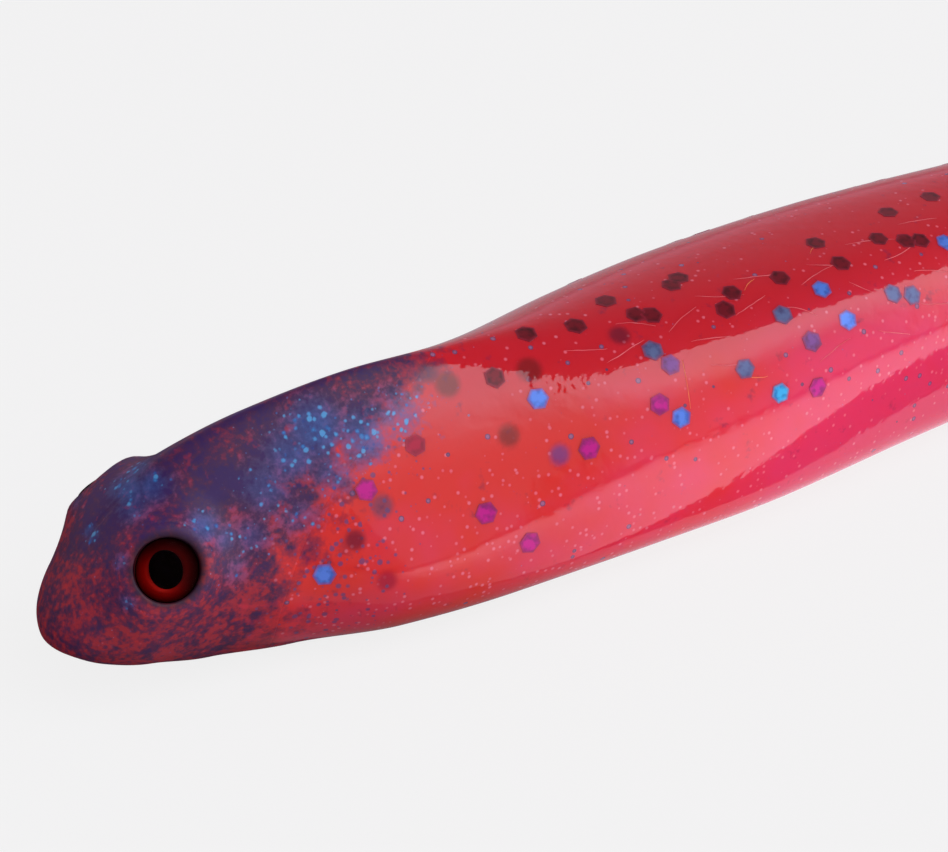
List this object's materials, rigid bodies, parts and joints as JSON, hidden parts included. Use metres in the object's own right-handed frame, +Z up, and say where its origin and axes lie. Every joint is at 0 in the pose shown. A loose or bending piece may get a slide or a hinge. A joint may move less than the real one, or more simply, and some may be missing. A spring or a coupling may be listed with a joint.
{
  "type": "soft plastic worm",
  "caption": "Soft fishing worm with a fish-like head, domed side eyes, a thick round-backed body with a flat belly strip, and a thin upright swimming tail.",
  "frame": {"origin": "middle of the bounding box's bottom face: on the plane that the belly rests on, half-way from nose to tail", "axes": "+X from the nose to the tail, +Y to the worm's own right, +Z up"},
  "size_m": [0.127, 0.015, 0.0132],
  "materials": {
    "head_plastic": "soft plastisol, maroon with a blue sprayed speckle",
    "body_plastic": "soft translucent plastisol, glossy, with glitter",
    "eye_foil": "red printed metal foil",
    "eye_resin": "clear domed resin"
  },
  "bodies": {
    "front_body": {"front_body": "body_plastic"},
    "head": {"head": "head_plastic", "eye_foil_left": "eye_foil", "eye_foil_right": "eye_foil", "eye_dome_left": "eye_resin", "eye_dome_right": "eye_resin"},
    "rear_body": {"rear_body": "body_plastic"},
    "tail_root": {"tail_root": "body_plastic"},
    "tail_wrist": {"tail_wrist": "body_plastic"},
    "tail_blade": {"tail_blade": "body_plastic"},
    "tail_tip": {"tail_tip": "body_plastic"}
  },
  "joints": [
    {"name": "neck_bend", "type": "hinge", "parent": "front_body", "child": "head", "pos_m": [-0.0335, 0, 0.006], "axis": [0, 0, 1], "range_deg": [-20, 20], "stiffness_Nm_per_rad": 0.012},
    {"name": "back_lift", "type": "hinge", "parent": "front_body", "child": "rear_body", "pos_m": [0.0045, 0, 0.0055], "axis": [0, -1, 0], "range_deg": [0, 25], "stiffness_Nm_per_rad": 0.012},
    {"name": "tail_root_bend", "type": "hinge", "parent": "rear_body", "child": "tail_root", "pos_m": [0.0205, 0, 0.005], "axis": [0, 0, 1], "range_deg": [-25, 25], "stiffness_Nm_per_rad": 0.005},
    {"name": "tail_wrist_bend", "type": "hinge", "parent": "tail_root", "child": "tail_wrist", "pos_m": [0.03125, 0, 0.0045], "axis": [0, 0, 1], "range_deg": [-25, 25], "stiffness_Nm_per_rad": 0.0015},
    {"name": "tail_blade_bend", "type": "hinge", "parent": "tail_wrist", "child": "tail_blade", "pos_m": [0.042, 0, 0.0045], "axis": [0, 0, 1], "range_deg": [-25, 25], "stiffness_Nm_per_rad": 0.0004},
    {"name": "tail_tip_bend", "type": "hinge", "parent": "tail_blade", "child": "tail_tip", "pos_m": [0.05275, 0, 0.0045], "axis": [0, 0, 1], "range_deg": [-25, 25], "stiffness_Nm_per_rad": 0.0002}
  ]
}
